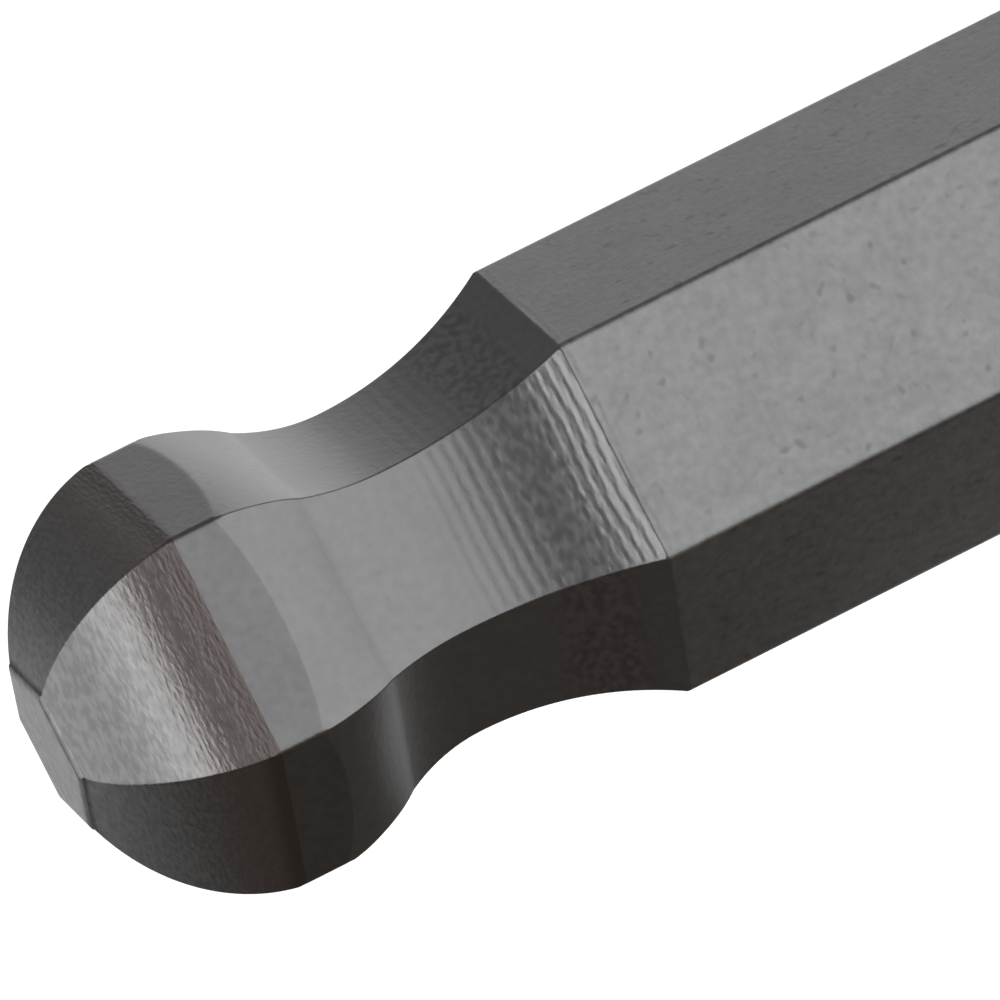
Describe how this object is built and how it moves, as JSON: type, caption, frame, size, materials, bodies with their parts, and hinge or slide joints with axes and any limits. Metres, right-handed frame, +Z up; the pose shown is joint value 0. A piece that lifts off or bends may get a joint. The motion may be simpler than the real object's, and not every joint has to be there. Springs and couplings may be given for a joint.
{
  "type": "hex screwdriver",
  "caption": "Ball-end hex screwdriver: dark hexagonal steel blade with a milled ball tip, fixed in a six-sided handle with a soft grip sleeve.",
  "frame": {"origin": "middle of the tool's footprint, on the surface that the handle rests on", "axes": "+X along the tool's axis from the tip to the butt, +Z up, square to a pair of blade flats; the axis is level, 16.5 mm above the surface"},
  "size_m": [0.212, 0.0362, 0.033],
  "materials": {
    "blade_steel": "dark gunmetal, fine blasted flats and a milled ball end",
    "core_plastic": "fine moulded texture, satin",
    "grip_rubber": "soft matt, fine ribs"
  },
  "bodies": {
    "root": {"blade": "blade_steel", "handle_core": "core_plastic", "grip_sleeve": "grip_rubber"}
  },
  "joints": []
}
